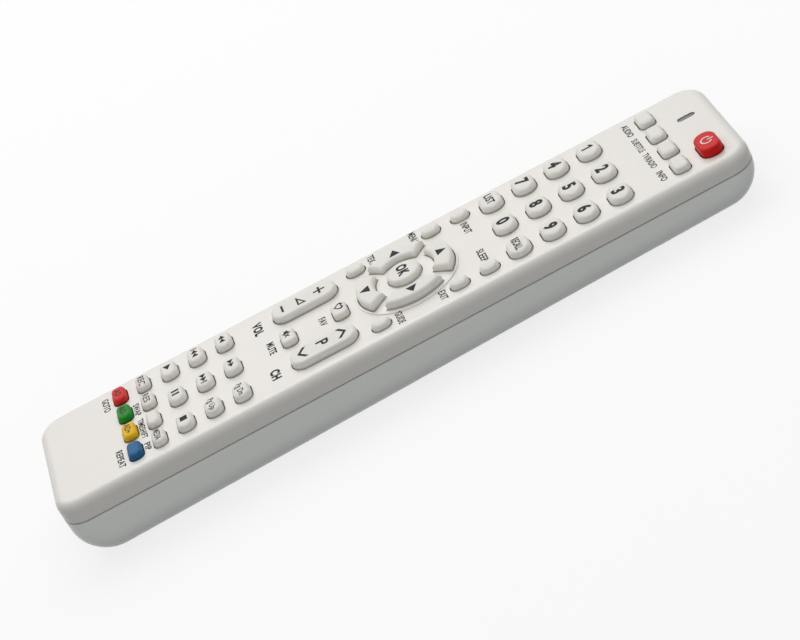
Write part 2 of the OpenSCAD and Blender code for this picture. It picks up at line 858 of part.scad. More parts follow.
// Cell lying along the body, with its nub towards the top end when turn is 0
module battery_cell(side, turn) {
  middle_y = cell_low_y + (cell_l + nub_l) / 2;
  bevel = 0.5;
  color("#3c4450")
    translate([side * cell_pitch / 2, middle_y, cell_z])
      rotate([turn, 0, 0])
        translate([0, -(cell_l + nub_l) / 2, 0])
          rotate([-90, 0, 0]) {
            rotate_extrude()
              polygon([[0, 0], [cell_r - bevel, 0], [cell_r, bevel], [cell_r, cell_l - bevel],
                       [cell_r - bevel, cell_l], [nub_r, cell_l], [nub_r, cell_l + nub_l],
                       [0, cell_l + nub_l]]);
          }
}

// Strip that stands against the end of the bay, with a bent leaf that reaches to the cell
// The leaf grows out of the strip at the top, and its lower end is free
module leaf_contact(reach, w) {
  half_h = contact_h / 2;
  flat = half_h / 4;
  free_end = -0.8 * half_h;
  tip = reach - contact_t;
  root = contact_t / 2;
  translate([-w / 2, 0, -half_h])
    cube([w, contact_t, contact_h]);
  rotate([90, 0, 90])
    linear_extrude(w, center = true)
      polygon([[root, half_h], [reach, flat], [reach, -flat], [3 * contact_t, free_end],
               [2 * contact_t, free_end], [tip, -flat], [tip, flat], [root, half_h - 2 * contact_t]]);
}

leaf_reach = contact_room - contact_gap - seat_gap;

module bridge_contact() {
  color(steel)
    translate([0, bay_low_y + seat_gap, cell_z]) {
      for (side = [-1, 1])
        translate([side * cell_pitch / 2, 0, 0])
          leaf_contact(leaf_reach, contact_w);
      translate([-cell_pitch / 2, 0, -contact_h / 2])
        cube([cell_pitch, contact_t, contact_h]);
    }
}

module end_terminal(side) {
  color(steel)
    translate([side * cell_pitch / 2, bay_high - seat_gap, cell_z])
      rotate([0, 0, 180])
        leaf_contact(leaf_reach, contact_w);
}

module key_power() {
  color(power_red)
    face_frame()
      translate(power_place)
        block_key(power_w, power_l, power_corner, power_h);
}

module key_ok() {
  color(key_grey)
    face_frame()
      translate(pad_place)
        round_key(ok_r, ok_h);
}

module digit_key(i) {
  color(key_grey)
    face_frame()
      translate(digit_place(i))
        pillow_key(digit_w, digit_l, digit_corner, digit_h);
}

module quick_key(i) {
  color(key_grey)
    face_frame()
      translate(four_place(i, quick_y))
        pillow_key(quick_w, quick_l, key_corner, quick_h);
}

module record_key(i) {
  color(key_grey)
    face_frame()
      translate(four_place(i, record_y))
        pillow_key(record_w, record_l, key_corner, record_h);
}

module colour_key(i) {
  color(row_colours[i])
    face_frame()
      translate(four_place(i, colour_y))
        pillow_key(colour_w, colour_l, key_corner, colour_h);
}

module pill_key(i) {
  color(key_grey)
    face_frame()
      translate(pill_place(i))
        pillow_key(pill_w, pill_l, pill_corner, pill_h);
}

module middle_key(i) {
  color(key_grey)
    face_frame()
      translate(middle_place(i))
        block_key(middle_w, middle_l, key_corner, middle_h);
}

module transport_key(i) {
  color(key_grey)
    face_frame()
      translate(transport_place(i))
        pillow_key(transport_w, transport_l, pill_corner, transport_h);
}

module rocker(i) {
  color(key_grey)
    face_frame()
      translate(rocker_place(i))
        block_key(rocker_w, rocker_l, rocker_corner, rocker_h, flange_top - rocker_room);
}

module pad_arc(i) {
  color(key_grey)
    face_frame()
      arc_key(i);
}

top_case();
bottom_case();
battery_cover();
keypad_mat();
circuit_board();
ir_emitter();
bridge_contact();
end_terminal(1);  // plus_terminal
end_terminal(-1);  // minus_terminal
key_power();
key_ok();
for (i = [0:1]) battery_cell(2 * i - 1, 180 * i);
for (i = [0:1]) rocker(i);
for (i = [0:3]) pad_arc(i);
for (i = [0:1]) middle_key(i);
for (i = [0:11]) digit_key(i);
for (i = [0:3]) quick_key(i);
for (i = [0:5]) pill_key(i);
for (i = [0:8]) transport_key(i);
for (i = [0:3]) record_key(i);
for (i = [0:3]) colour_key(i);
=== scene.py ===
import json
import math

import bmesh
import bpy
from mathutils import Matrix, Vector
from mathutils.bvhtree import BVHTree

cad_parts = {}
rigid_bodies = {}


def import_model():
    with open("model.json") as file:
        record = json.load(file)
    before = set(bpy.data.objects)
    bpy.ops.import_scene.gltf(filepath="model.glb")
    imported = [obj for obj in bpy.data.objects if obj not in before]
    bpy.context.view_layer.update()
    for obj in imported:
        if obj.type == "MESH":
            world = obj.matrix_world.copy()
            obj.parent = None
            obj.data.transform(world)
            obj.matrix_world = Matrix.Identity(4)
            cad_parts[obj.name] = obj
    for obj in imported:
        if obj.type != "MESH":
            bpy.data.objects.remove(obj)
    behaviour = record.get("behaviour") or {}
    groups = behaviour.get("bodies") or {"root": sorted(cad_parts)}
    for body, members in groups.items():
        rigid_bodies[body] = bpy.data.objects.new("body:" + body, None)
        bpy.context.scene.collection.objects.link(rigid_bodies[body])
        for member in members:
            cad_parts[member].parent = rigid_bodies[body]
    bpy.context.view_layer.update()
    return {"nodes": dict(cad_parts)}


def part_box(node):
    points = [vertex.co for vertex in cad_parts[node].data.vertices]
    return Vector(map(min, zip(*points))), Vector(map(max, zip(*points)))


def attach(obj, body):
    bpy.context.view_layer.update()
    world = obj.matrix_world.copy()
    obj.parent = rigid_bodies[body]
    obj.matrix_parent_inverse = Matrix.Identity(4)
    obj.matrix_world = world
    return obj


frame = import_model()
nodes = frame["nodes"]
print("frame:", len(nodes), "nodes")

# the key face leans along the length and has its own millimetres, with zero at its middle;
# faceMatrix turns them into the frame's metres
faceLean = dict(angle=1.6, seamHeight=12.892, seamDepth=6.1)
faceMatrix = (
    Matrix.Scale(0.001, 4)
    @ Matrix.Translation((0, 0, faceLean["seamHeight"]))
    @ Matrix.Rotation(math.radians(-faceLean["angle"]), 4, "X")
    @ Matrix.Translation((0, 0, faceLean["seamDepth"]))
)
faceInverse = faceMatrix.inverted()


class Value:
    def __init__(self, finish, socket):
        self.finish = finish
        self.socket = socket

    def maths(self, operation, first, second):
        return self.finish.value("ShaderNodeMath", dict(operation=operation), {0: first, 1: second})

    def __add__(self, other):
        return self.maths("ADD", self, other)

    def __radd__(self, other):
        return self.maths("ADD", other, self)

    def __sub__(self, other):
        return self.maths("SUBTRACT", self, other)

    def __rsub__(self, other):
        return self.maths("SUBTRACT", other, self)

    def __mul__(self, other):
        return self.maths("MULTIPLY", self, other)

    def __rmul__(self, other):
        return self.maths("MULTIPLY", other, self)

    def __gt__(self, other):
        return self.maths("GREATER_THAN", self, other)

    def __lt__(self, other):
        return self.maths("LESS_THAN", self, other)


# the nodes of a material or of the world
class Finish:
    def __init__(self, owner):
        self.owner = owner
        owner.use_nodes = True
        self.tree = owner.node_tree
        self.tree.nodes.clear()
        self.place = None

    def node(self, kind, settings=None, sockets=None):
        made = self.tree.nodes.new(kind)
        for key, value in (settings or {}).items():
            setattr(made, key, value)
        for key, value in (sockets or {}).items():
            if isinstance(value, Value):
                self.tree.links.new(value.socket, made.inputs[key])
            else:
                made.inputs[key].default_value = value
        return made

    def value(self, kind, settings=None, sockets=None, output=0):
        return Value(self, self.node(kind, settings, sockets).outputs[output])

    # position in the frame, in metres
    def where(self):
        if self.place is None:
            self.place = self.value("ShaderNodeTexCoord", output="Object")
        return self.place

    # one coordinate of that position: 0, 1 or 2
    def along(self, axis):
        return self.value("ShaderNodeSeparateXYZ", None, {0: self.where()}, output=axis)

    def noise(self, scale, detail=3.0, rough=0.5):
        return self.value("ShaderNodeTexNoise", None, {
            "Vector": self.where(), "Scale": scale, "Detail": detail, "Roughness": rough})

    def between(self, share, first, second):
        return self.value("ShaderNodeMix", dict(data_type="RGBA"),
                          {0: share, 6: first, 7: second}, output=2)

    # height in millimetres above a plane that leans along the length
    def above(self, angle, height):
        lean = math.radians(angle)
        return (self.along(1) * (1000 * math.sin(lean))
                + self.along(2) * (1000 * math.cos(lean)) - height)

    # height above the key face, in millimetres
    def rise(self):
        seam = faceLean["seamHeight"] * math.cos(math.radians(faceLean["angle"]))
        return self.above(faceLean["angle"], seam + faceLean["seamDepth"])

    # eases from 1 at the first value to 0 at the second
    def fade(self, value, first, second):
        return self.value("ShaderNodeMapRange", dict(interpolation_type="SMOOTHSTEP"), {
            "Value": value, "From Min": first, "From Max": second, "To Min": 1.0, "To Max": 0.0})

    def bump(self, height, strength, depth):
        return self.value("ShaderNodeBump", None, {
            "Height": height, "Strength": strength, "Distance": depth})

    def shade(self, sockets):
        shader = self.value("ShaderNodeBsdfPrincipled", None, sockets)
        self.node("ShaderNodeOutputMaterial", None, {"Surface": shader})
        return self.owner


def newFinish(name):
    return Finish(bpy.data.materials.new(name))


def rgba(colour):
    return (*colour, 1.0)


# moulded white plastic: fine spark texture, slow drift in tone and gloss,
# painted shade along the seam and in the key holes
caseLook = dict(
    pale=(0.80, 0.78, 0.745), warm=(0.785, 0.76, 0.72), driftScale=28.0, ior=1.5, specular=0.45,
    rough=0.24, roughDrift=0.06, roughSpark=0.05,
    sparkScale=3800.0, sparkStrength=0.12, sparkDepth=0.00002,
    # colour of the painted shade in the seam and the key holes
    paintedShade=(0.16, 0.15, 0.13),
    seamAngle=1.18, seamReach=(0.03, 0.1), seamShare=0.25,  # reach in square millimetres
    holeSpan=(0.0208, 0.0995), holeReach=(-0.3, -0.03), holeShare=0.85,
)
# lower shell: its colour is painted paler than the top case's, standing in for light on its side
lowerLook = dict(caseLook, pale=(0.91, 0.92, 0.905), warm=(0.90, 0.905, 0.89), rough=0.2,
                 holeShare=0.0)


def mouldedPlastic(name, look):
    finish = newFinish(name)
    drift = finish.noise(look["driftScale"], detail=2.0)
    spark = finish.noise(look["sparkScale"], detail=4.0, rough=0.6)
    tone = finish.between(drift, rgba(look["pale"]), rgba(look["warm"]))
    # painted shade: a dark line along the seam between the two case halves
    seam = finish.above(look["seamAngle"], faceLean["seamHeight"])
    seamShade = finish.fade(seam * seam, *look["seamReach"])
    tone = finish.between(seamShade * look["seamShare"], tone, rgba(look["paintedShade"]))
    # painted shade inside the key holes, below the face
    if look["holeShare"]:
        x, y = finish.along(0), finish.along(1)
        inside = (x * x < look["holeSpan"][0] ** 2) * (y * y < look["holeSpan"][1] ** 2)
        hole = finish.fade(finish.rise(), *look["holeReach"]) * inside
        tone = finish.between(hole * look["holeShare"], tone, rgba(look["paintedShade"]))
    gloss = (look["rough"] + (drift - 0.5) * look["roughDrift"]
             + (spark - 0.5) * look["roughSpark"])
    return finish.shade({
        "Base Color": tone, "Roughness": gloss, "IOR": look["ior"],
        "Specular IOR Level": look["specular"],
        "Normal": finish.bump(spark, look["sparkStrength"], look["sparkDepth"])})


# silicone: matte skin with a faint bloom of dust, moulding grain and painted shade round its foot
keyLook = dict(
    colour=(0.79, 0.775, 0.735), dusty=(0.76, 0.745, 0.70), cloudScale=260.0, cloudShare=0.5,
    ior=1.43, specular=0.35, rough=0.5, roughCloud=0.1, roughGrain=0.08,
    grainScale=5200.0, grainStrength=0.25, grainDepth=0.00002,
    # colour of the painted shade round each key's foot
    foot=(0.42, 0.38, 0.29), footReach=(-0.1, 0.8), footWaver=0.2, footShare=0.5,
    glow=0.25, glowReach=(1.0, 0.9, 0.7), glowScale=0.001,
)
# on the pad keys the painted shade reaches higher up the foot
padLook = dict(keyLook, footReach=(0.3, 1.5))
tintLook = dict(keyLook, rough=0.45, specular=0.2, glow=0.2)
# coloured keys, each with its own colour of painted shade at the foot
tintedLooks = {
    "key_power": dict(tintLook, colour=(0.62, 0.008, 0.007), dusty=(0.57, 0.012, 0.010),
                      foot=(0.25, 0.003, 0.003), rough=0.4),
    "key_red": dict(tintLook, colour=(0.66, 0.028, 0.022), dusty=(0.61, 0.033, 0.027),
                    foot=(0.22, 0.006, 0.006)),
    "key_green": dict(tintLook, colour=(0.010, 0.24, 0.018), dusty=(0.014, 0.22, 0.022),
                      foot=(0.004, 0.08, 0.006)),
    "key_yellow": dict(tintLook, colour=(0.82, 0.50, 0.010), dusty=(0.77, 0.46, 0.014),
                       foot=(0.28, 0.15, 0.002)),
    "key_blue": dict(tintLook, colour=(0.016, 0.12, 0.28), dusty=(0.02, 0.115, 0.26),
                     foot=(0.006, 0.045, 0.10)),
}


def silicone(name, look):
    finish = newFinish(name)
    cloud = finish.noise(look["cloudScale"])
    grain = finish.noise(look["grainScale"], rough=0.65)
    tone = finish.between(cloud * look["cloudShare"], rgba(look["colour"]), rgba(look["dusty"]))
    # painted shade: darker towards the face round the key's foot
    foot = finish.fade(finish.rise() + (cloud - 0.5) * look["footWaver"], *look["footReach"])
    tone = finish.between(foot * look["footShare"], tone, rgba(look["foot"]))
    gloss = (look["rough"] + (cloud - 0.5) * look["roughCloud"]
             + (grain - 0.5) * look["roughGrain"])
    return finish.shade({
        "Base Color": tone, "Roughness": gloss, "IOR": look["ior"],
        "Specular IOR Level": look["specular"], "Subsurface Weight": look["glow"],
        "Subsurface Radius": look["glowReach"], "Subsurface Scale": look["glowScale"],
        "Normal": finish.bump(grain, look["grainStrength"], look["grainDepth"])})


# ink of the printed legends, a little uneven
darkInkLook = dict(colour=(0.022, 0.022, 0.024), thin=(0.045, 0.045, 0.047), patchScale=2600.0,
                   rough=0.6, roughPatch=0.15, specular=0.08)
paleInkLook = dict(darkInkLook, colour=(0.86, 0.84, 0.82), thin=(0.78, 0.74, 0.72))


def printInk(name, look):
    finish = newFinish(name)
    patch = finish.noise(look["patchScale"])
    tone = finish.between(patch, rgba(look["colour"]), rgba(look["thin"]))
    return finish.shade({
        "Base Color": tone, "Roughness": look["rough"] + (patch - 0.5) * look["roughPatch"],
        "Specular IOR Level": look["specular"]})


# circuit board: green mask with a pattern of tracks
boardLook = dict(mask=(0.03, 0.13, 0.05), deep=(0.02, 0.09, 0.035), track=(0.09, 0.24, 0.08),
                 weaveScale=900.0, trackWide=0.00025, trackLong=0.006, trackStep=0.0022,
                 trackShare=0.7, trackStrength=0.4, trackDepth=0.00004,
                 rough=0.32, roughWeave=0.2, specular=0.5)


def boardResin(name, look):
    finish = newFinish(name)
    weave = finish.noise(look["weaveScale"], detail=4.0)
    track = finish.value("ShaderNodeTexBrick", None, {
        "Vector": finish.where(), "Scale": 1.0, "Mortar Size": look["trackWide"],
        "Brick Width": look["trackLong"], "Row Height": look["trackStep"]}, output="Fac")
    tone = finish.between(weave, rgba(look["mask"]), rgba(look["deep"]))
    tone = finish.between(track * look["trackShare"], tone, rgba(look["track"]))
    return finish.shade({
        "Base Color": tone, "Roughness": look["rough"] + weave * look["roughWeave"],
        "Specular IOR Level": look["specular"],
        "Normal": finish.bump(track, look["trackStrength"], look["trackDepth"])})


# cell sleeve: dark wrap with a pale band at the plus end and bare steel at both ends;
# the bounds are shares of the cell's length
cellLook = dict(wrap=(0.055, 0.065, 0.085), worn=(0.075, 0.085, 0.105), band=(0.58, 0.59, 0.58),
                steel=(0.6, 0.6, 0.6), bandFrom=0.74, bandTo=0.965, steelEnd=0.012,
                scuffScale=420.0, scuffStrength=0.1, scuffDepth=0.00003,
                rough=0.28, roughScuff=0.18)


def cellSleeve(name, look, plusLow):
    finish = newFinish(name)
    low, high = (corner.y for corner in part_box(name))
    share = (finish.along(1) - low) * (1.0 / (high - low))
    share = 1 - share if plusLow else share
    scuff = finish.noise(look["scuffScale"], detail=5.0, rough=0.6)
    band = (share > look["bandFrom"]) * (share < look["bandTo"])
    steel = (share < look["steelEnd"]) + (share > look["bandTo"])
    tone = finish.between(scuff, rgba(look["wrap"]), rgba(look["worn"]))
    tone = finish.between(band, tone, rgba(look["band"]))
    tone = finish.between(steel, tone, rgba(look["steel"]))
    return finish.shade({
        "Base Color": tone, "Metallic": steel,
        "Roughness": look["rough"] + scuff * look["roughScuff"],
        "Normal": finish.bump(scuff, look["scuffStrength"], look["scuffDepth"])})


# nickel-plated strip with fine drawn lines
contactLook = dict(bright=(0.72, 0.71, 0.69), dull=(0.55, 0.54, 0.53),
                   stretch=(400.0, 3000.0, 9000.0), lineStrength=0.15, lineDepth=0.00002,
                   rough=0.2, roughLine=0.2)


def springSteel(name, look):
    finish = newFinish(name)
    stretched = finish.value("ShaderNodeMapping", None, {
        "Vector": finish.where(), "Scale": look["stretch"]})
    lines = finish.value("ShaderNodeTexNoise", None, {
        "Vector": stretched, "Scale": 1.0, "Detail": 3.0})
    tone = finish.between(lines, rgba(look["bright"]), rgba(look["dull"]))
    return finish.shade({
        "Base Color": tone, "Metallic": 1.0,
        "Roughness": look["rough"] + lines * look["roughLine"],
        "Normal": finish.bump(lines, look["lineStrength"], look["lineDepth"])})


# smoked resin of the emitter and of the indicator window
emitterLook = dict(smoke=(0.012, 0.008, 0.016), haze=(0.025, 0.02, 0.03), hazeScale=700.0,
                   rough=0.08, roughHaze=0.1, ior=1.54, coat=0.3)
windowResinLook = dict(emitterLook, smoke=(0.085, 0.085, 0.088), haze=(0.11, 0.11, 0.112),
                       rough=0.3)


def smokedResin(name, look):
    finish = newFinish(name)
    haze = finish.noise(look["hazeScale"])
    tone = finish.between(haze, rgba(look["smoke"]), rgba(look["haze"]))
    return finish.shade({
        "Base Color": tone, "Roughness": look["rough"] + haze * look["roughHaze"],
        "IOR": look["ior"], "Coat Weight": look["coat"]})


legendInk = printInk("legendInk", darkInkLook)
powerInk = printInk("powerInk", paleInkLook)
windowResin = smokedResin("windowResin", windowResinLook)
lowerPlastic = mouldedPlastic("lowerPlastic", lowerLook)
contactSteel = springSteel("springSteel", contactLook)
padSilicone = silicone("padSilicone", padLook)
padKeys = ("pad_right", "pad_up", "pad_left", "pad_down", "key_ok")
finishes = dict.fromkeys(nodes, silicone("keySilicone", keyLook))
finishes.update(dict.fromkeys(padKeys, padSilicone))
finishes.update(dict.fromkeys(("bottom_case", "battery_cover"), lowerPlastic))
finishes.update(dict.fromkeys(("bridge_contact", "plus_terminal", "minus_terminal"), contactSteel))
finishes.update({name: silicone(name + "Silicone", look) for name, look in tintedLooks.items()})
finishes["top_case"] = mouldedPlastic("casePlastic", caseLook)
finishes["circuit_board"] = boardResin("boardResin", boardLook)
finishes["ir_emitter"] = smokedResin("emitterResin", emitterLook)
finishes["battery_left"] = cellSleeve("battery_left", cellLook, plusLow=False)
finishes["battery_right"] = cellSleeve("battery_right", cellLook, plusLow=True)
for name, node in nodes.items():
    node.data.materials.clear()
    node.data.materials.append(finishes[name])
print("finishes:", len(set(finishes.values())))


def newObject(name, data):
    made = bpy.data.objects.new(name, data)
    bpy.context.scene.collection.objects.link(made)
    return made


def builtObject(name, built, material):
    bmesh.ops.recalc_face_normals(built, faces=built.faces)
    mesh = bpy.data.meshes.new(name)
    built.to_mesh(mesh)
    built.free()
    mesh.materials.append(material)
    return newObject(name, mesh)


# how all legends are made, lengths in millimetres; a key's head starts at headLow above the
# face, letterGap widens the spacing with the weight, looseWidth is for words with no set width
legendLook = dict(thickness=0.05, sunk=0.02, step=0.3, headLow=0.05, rayHeight=9.0,
                  curveSteps=5, letterGap=3.0, looseWidth=0.95)


# middle of a key's head, in the face's millimetres
def keyMiddle(name):
    points = [faceInverse @ v.co for v in nodes[name].data.vertices]
    head = [p for p in points if p.z > legendLook["headLow"]]
    x, y = ([p[axis] for p in head] for axis in (0, 1))
    return (min(x) + max(x)) / 2, (min(y) + max(y)) / 2


# a filled curve as a closed mesh, one unit thick
def solidOutline(curve):
    holder = newObject("outline", curve)
    bpy.context.view_layer.update()
    seen = holder.evaluated_get(bpy.context.evaluated_depsgraph_get())
    made = bpy.data.meshes.new_from_object(seen)
    bpy.data.objects.remove(holder)
    bpy.data.curves.remove(curve)
    return made


def wordCurve(word, weight):
    curve = bpy.data.curves.new("word", "FONT")
    curve.body = word
    curve.size = 1.0
    curve.offset = weight
    curve.space_character = 1.0 + legendLook["letterGap"] * weight
    curve.extrude = 0.5
    curve.resolution_u = legendLook["curveSteps"]
    return curve


capital = solidOutline(wordCurve("H", 0.0))
capHeight = max(v.co.y for v in capital.vertices)
bpy.data.meshes.remove(capital)


# lettering with its capitals as tall as asked, narrowed to the width asked
def wordMesh(word, height, width=None, weight=0.0):
    made = solidOutline(wordCurve(word, weight))
    left = min(v.co.x for v in made.vertices)
    right = max(v.co.x for v in made.vertices)
    tall = height / capHeight
    wide = width / (right - left) if width else tall * legendLook["looseWidth"]
    for v in made.vertices:
        v.co.x = (v.co.x - (left + right) / 2) * wide
        v.co.y = v.co.y * tall - height / 2
    return made


# flat marks from closed outlines; an outline inside another is a hole
def markMesh(*outlines):
    curve = bpy.data.curves.new("mark", "CURVE")
    curve.dimensions = "2D"
    curve.fill_mode = "BOTH"
    curve.extrude = 0.5
    for outline in outlines:
        spline = curve.splines.new("POLY")
        spline.points.add(len(outline) - 1)
        for point, (x, y) in zip(spline.points, outline):
            point.co = (x, y, 0, 1)
        spline.use_cyclic_u = True
    return solidOutline(curve)


def moved(outline, dx, dy):
    return [(x + dx, y + dy) for x, y in outline]


def turned(outline, degrees):
    c, s = math.cos(math.radians(degrees)), math.sin(math.radians(degrees))
    return [(x * c - y * s, x * s + y * c) for x, y in outline]


def shrunk(outline, share, dy=0.0):
    return [(x * share, y * share + dy) for x, y in outline]


def bar(w, h):
    return [(-w / 2, -h / 2), (w / 2, -h / 2), (w / 2, h / 2), (-w / 2, h / 2)]


# triangle that points along +X
def arrow(w, h):
    return [(-w / 2, -h / 2), (w / 2, 0), (-w / 2, h / 2)]


def plus(size, stroke):
    a, b = size / 2, stroke / 2
    return [(-a, -b), (-b, -b), (-b, -a), (b, -a), (b, -b), (a, -b),
            (a, b), (b, b), (b, a), (-b, a), (-b, b), (-a, b)]


# open arrow head that points up
def chevron(w, h, stroke):
    up = stroke * math.hypot(w / 2, h) / (w / 2)
    return [(-w / 2, -h / 2), (0, h / 2 - up), (w / 2, -h / 2),
            (w / 2, -h / 2 + up), (0, h / 2), (-w / 2, -h / 2 + up)]


# right-angled wedge that rises towards +X
def ramp(w, h):
    return [(-w / 2, -h / 2), (w / 2, -h / 2), (w / 2, h / 2)]


def ringPart(outer, inner, start, end, steps=28):
    angles = [math.radians(start + (end - start) * i / steps) for i in range(steps + 1)]
    return ([(outer * math.cos(a), outer * math.sin(a)) for a in angles]
            + [(inner * math.cos(a), inner * math.sin(a)) for a in reversed(angles)])


# the usual heart curve, which is 32 units wide, lifted to its middle
def heart(size, steps=40, wide=32, lift=2.5):
    outline = []
    for i in range(steps):
        t = 2 * math.pi * i / steps
        x = 16 * math.sin(t) ** 3
        y = 13 * math.cos(t) - 5 * math.cos(2 * t) - 2 * math.cos(3 * t) - math.cos(4 * t) + lift
        outline.append((x * size / wide, y * size / wide))
    return outline


# cuts a flat mesh into narrow strips both ways, so that it can follow a curved top
def cutFine(flat):
    fine = bmesh.new()
    fine.from_mesh(flat)
    bpy.data.meshes.remove(flat)
    bmesh.ops.remove_doubles(fine, verts=fine.verts, dist=1e-5)
    for axis, normal in enumerate((Vector((1, 0, 0)), Vector((0, 1, 0)))):
        low = min(v.co[axis] for v in fine.verts)
        high = max(v.co[axis] for v in fine.verts)
        count = math.ceil((high - low) / legendLook["step"])
        for i in range(1, count):
            geometry = fine.verts[:] + fine.edges[:] + fine.faces[:]
            bmesh.ops.bisect_plane(fine, geom=geometry, dist=1e-6, plane_no=normal,
                                   plane_co=normal * (low + (high - low) * i / count))
    return fine


# lays flat meshes on the node that carries them and joins them into one printed piece
def printLegend(name, parts, carrier, body, ink):
    data = nodes[carrier].data
    tree = BVHTree.FromPolygons([faceInverse @ v.co for v in data.vertices],
                                [tuple(p.vertices) for p in data.polygons])
    whole = bmesh.new()
    for flat, x, y in parts:
        fine = cutFine(flat)
        for v in fine.verts:
            px, py = v.co.x + x, v.co.y + y
            hit = tree.ray_cast(Vector((px, py, legendLook["rayHeight"])), Vector((0, 0, -1)))[0]
            lift = legendLook["thickness"] if v.co.z > 0 else 0.0
            v.co = faceMatrix @ Vector((px, py, hit.z + lift - legendLook["sunk"]))
        part = bpy.data.meshes.new("part")
        fine.to_mesh(part)
        fine.free()
        whole.from_mesh(part)
        bpy.data.meshes.remove(part)
    piece = builtObject(name, whole, ink)
    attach(piece, body)
    return piece


def keyLegend(node, *parts, ink=legendInk):
    x, y = keyMiddle(node)
    placed = [(flat, x + dx, y + dy) for flat, dx, dy in parts]
    return printLegend(node + "_legend", placed, node, node, ink)


digitLook = dict(height=3.5, weight=0.046)
# the digit one has its own outline
oneLook = [(0.05, -1.75), (0.73, -1.75), (0.73, 1.75), (0.18, 1.75),
           (-0.85, 1.0), (-0.85, 0.34), (0.05, 0.82)]
keyLegend("key_1", (markMesh(oneLook), 0, 0))
for digit in "023456789":
    mesh = wordMesh(digit, digitLook["height"], weight=digitLook["weight"])
    keyLegend("key_" + digit, (mesh, 0, 0))

# word on a key: height, width, weight and shift to the right
keyWords = {
    "key_list": ("LIST", 2.2, 5.3, 0.026, 0.1), "key_recall": ("RECALL", 2.1, 6.1, 0.024, 0.0),
    "key_ok": ("OK", 2.8, 5.6, 0.05, 0.0),
    "key_page_down": ("Pg Dn", 1.8, 5.5, 0.006, 0.1),
    "key_page_up": ("Pg Up", 1.8, 5.5, 0.006, 0.1),
    "key_record": ("REC", 1.9, 4.5, 0.01, 0.25), "key_resume": ("RES", 1.9, 4.3, 0.01, 0.0),
    "key_media": ("MEDIA", 1.8, 5.0, 0.01, 0.0),
    "key_red": ("AD", 1.8, 3.2, 0.01, 0.0), "key_green": ("AD-", 1.8, 4.2, 0.01, 0.0),
    "key_yellow": ("AD+", 1.8, 4.5, 0.01, 0.0),
}
for node, (word, height, width, weight, dx) in keyWords.items():
    keyLegend(node, (wordMesh(word, height, width, weight), dx, 0))

# direction marks: angle and distance from the middle of the pad
markLook = dict(long=3.0, wide=3.3, places={
    "pad_right": (0, 11.15), "pad_up": (90, 11.9),
    "pad_left": (180, 11.15), "pad_down": (270, 11.9)})
padX, padY = keyMiddle("key_ok")
for node, (angle, reach) in markLook["places"].items():
    mark = markMesh(turned(arrow(markLook["long"], markLook["wide"]), angle))
    dx, dy = turned([(reach, 0)], angle)[0]
    printLegend(node + "_mark", [(mark, padX + dx, padY + dy)], node, node, legendInk)

# transport marks
transportLook = dict(wide=1.75, tall=2.0, gap=0.05, barWide=0.42, barGap=0.45, play=(2.3, 2.4),
                     pause=(0.8, 2.3), pauseShift=0.8, stop=(2.1, 2.1))
w, h = transportLook["wide"], transportLook["tall"]
forward = [moved(arrow(w, h), -w / 2, 0), moved(arrow(w, h), w / 2 + transportLook["gap"], 0)]
skip = forward + [moved(bar(transportLook["barWide"], h), w + transportLook["barGap"], 0)]
pause = [moved(bar(*transportLook["pause"]), side * transportLook["pauseShift"], 0)
         for side in (-1, 1)]
transportMarks = {
    "key_rewind": [turned(o, 180) for o in forward], "key_forward": forward,
    "key_previous": [turned(o, 180) for o in skip], "key_next": skip,
    "key_play": [arrow(*transportLook["play"])], "key_pause": pause,
    "key_stop": [bar(*transportLook["stop"])],
}
for node, outlines in transportMarks.items():
    keyLegend(node, (markMesh(*outlines), 0, 0))

# rocker marks: plus, volume wedge and minus; arrow heads and the programme letter
volumeLook = dict(size=3.5, stroke=0.64, wedge=(4.5, 2.7), plusY=5.1, wedgeY=-0.6, minusY=-6.4,
                  wedgeHole=[(-0.55, -0.83), (1.68, -0.83), (1.68, 0.51)])
keyLegend("volume_rocker",
          (markMesh(plus(volumeLook["size"], volumeLook["stroke"])), 0, volumeLook["plusY"]),
          (markMesh(ramp(*volumeLook["wedge"]), volumeLook["wedgeHole"]), 0, volumeLook["wedgeY"]),
          (markMesh(bar(volumeLook["size"], volumeLook["stroke"])), 0, volumeLook["minusY"]))
channelLook = dict(head=(4.9, 2.9, 0.64), headX=-0.3, headY=6.0,
                   letter=dict(height=3.4, width=2.6, weight=0.022), letterX=-0.35, letterY=0.1)
head = chevron(*channelLook["head"])
letter = wordMesh("P", **channelLook["letter"])
keyLegend("channel_rocker",
          (markMesh(head), channelLook["headX"], channelLook["headY"]),
          (letter, channelLook["letterX"], channelLook["letterY"]),
          (markMesh(turned(head, 180)), channelLook["headX"], -channelLook["headY"]))

# heart, and speaker with a cross
heartLook = dict(size=3.2, hole=0.62, holeLift=0.02, shift=-0.3)
outline = heart(heartLook["size"])
hollow = shrunk(outline, heartLook["hole"], heartLook["holeLift"])
keyLegend("key_favourite", (markMesh(outline, hollow), heartLook["shift"], 0))
muteLook = dict(cross=(1.9, 0.36), crossShift=0.85, shift=-0.3,
                speaker=[(-1.5, -0.55), (-0.9, -0.55), (-0.05, -1.4),
                         (-0.05, 1.4), (-0.9, 0.55), (-1.5, 0.55)])
cross = moved(turned(plus(*muteLook["cross"]), 45), muteLook["crossShift"], 0)
keyLegend("key_mute", (markMesh(muteLook["speaker"], cross), muteLook["shift"], 0))

# standby ring with its bar
powerLook = dict(outer=1.75, inner=1.38, opening=38, bar=(0.38, 1.7), barY=1.15)
ring = ringPart(powerLook["outer"], powerLook["inner"],
                90 + powerLook["opening"], 450 - powerLook["opening"])
upright = moved(bar(*powerLook["bar"]), 0, powerLook["barY"])
keyLegend("key_power", (markMesh(ring, upright), 0, 0), ink=powerInk)

